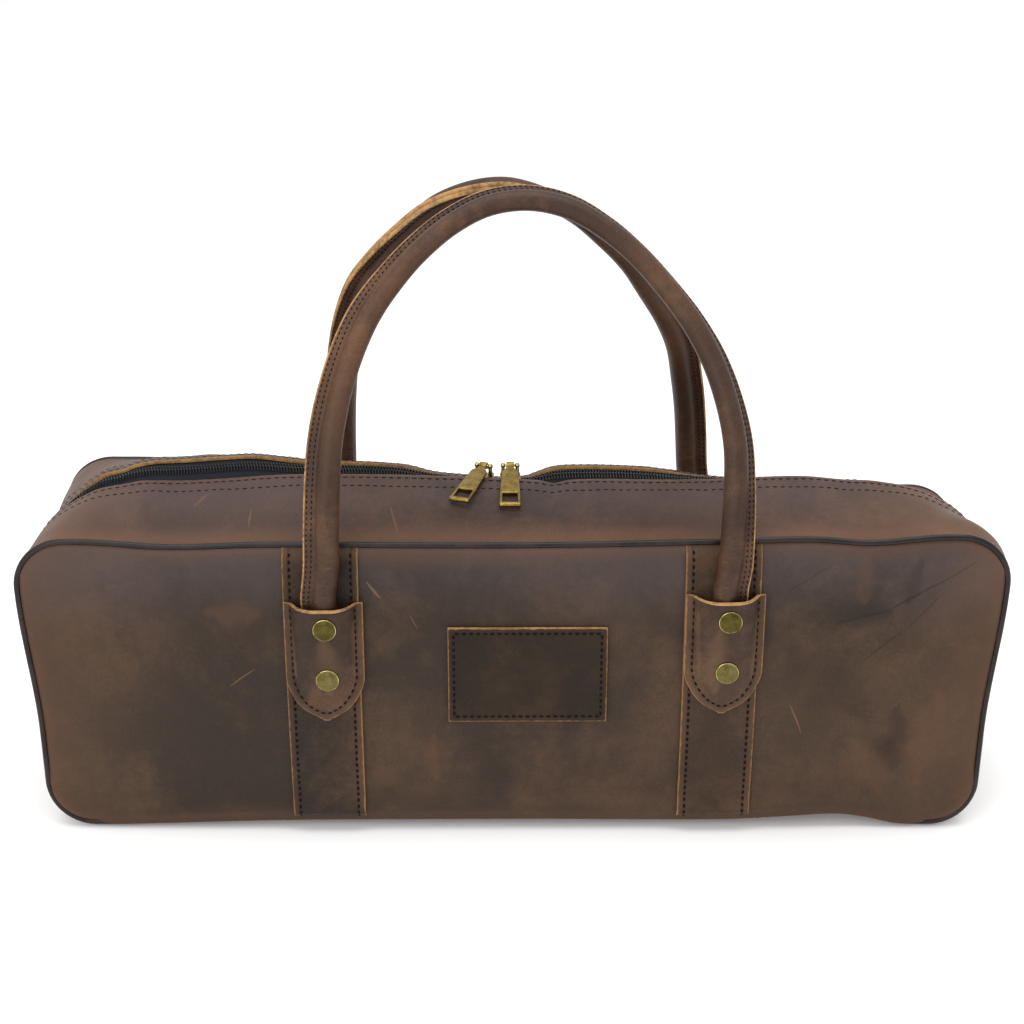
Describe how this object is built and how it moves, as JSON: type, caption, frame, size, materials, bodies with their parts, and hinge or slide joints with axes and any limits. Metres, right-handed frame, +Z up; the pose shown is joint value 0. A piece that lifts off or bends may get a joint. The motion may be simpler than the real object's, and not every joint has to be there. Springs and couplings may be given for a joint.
{
  "type": "leather knife bag",
  "caption": "Long zip-top leather bag for carrying knives, standing on a flat base, with rolled carrying handles, riveted straps and hinged zip pulls.",
  "frame": {"origin": "on the floor, under the middle of the bag's bounding box", "axes": "+X along the bag to the viewer's right, -Y towards the front with the patch, +Z up"},
  "size_m": [0.5073, 0.1633, 0.3349],
  "materials": {
    "brown_leather": "oiled, pulled-up brown leather with scuffs and a soft grey sheen",
    "strap_leather": "oiled brown leather with raw tan edges",
    "handle_leather": "rolled reddish brown leather, polished by hand",
    "piping_leather": "near-black glossy corded leather",
    "patch_leather": "plain stitched leather, raw edge",
    "zip_tape": "black woven tape",
    "zip_coil": "black nylon coil",
    "antique_brass": "antique brass, polished on the edges"
  },
  "bodies": {
    "bag": {"front_panel": "brown_leather", "rear_panel": "brown_leather", "front_zip_gusset": "brown_leather", "rear_zip_gusset": "brown_leather", "bottom_gusset": "brown_leather", "front_piping": "piping_leather", "rear_piping": "piping_leather", "zip_tape_front": "zip_tape", "zip_tape_rear": "zip_tape", "zip_coil": "zip_coil", "strap_front_left": "strap_leather", "strap_front_right": "strap_leather", "strap_rear_left": "strap_leather", "strap_rear_right": "strap_leather", "tab_front_left": "strap_leather", "tab_front_right": "strap_leather", "tab_rear_left": "strap_leather", "tab_rear_right": "strap_leather", "rivet_front_left_upper": "antique_brass", "rivet_front_left_lower": "antique_brass", "rivet_front_right_upper": "antique_brass", "rivet_front_right_lower": "antique_brass", "rivet_rear_left_upper": "antique_brass", "rivet_rear_left_lower": "antique_brass", "rivet_rear_right_upper": "antique_brass", "rivet_rear_right_lower": "antique_brass", "handle_front": "handle_leather", "handle_rear": "handle_leather", "label_patch": "patch_leather", "slider_left": "antique_brass", "slider_right": "antique_brass"},
    "left_pull": {"pull_left": "antique_brass"},
    "right_pull": {"pull_right": "antique_brass"}
  },
  "joints": [
    {"name": "left_pull_hinge", "type": "hinge", "parent": "bag", "child": "left_pull", "pos_m": [-0.015, 0, 0.18421], "axis": [-0.9397, 0.342, 0], "range_deg": [0, 110]},
    {"name": "right_pull_hinge", "type": "hinge", "parent": "bag", "child": "right_pull", "pos_m": [-0.001, 0, 0.1843], "axis": [-1, 0, 0], "range_deg": [0, 110]}
  ]
}
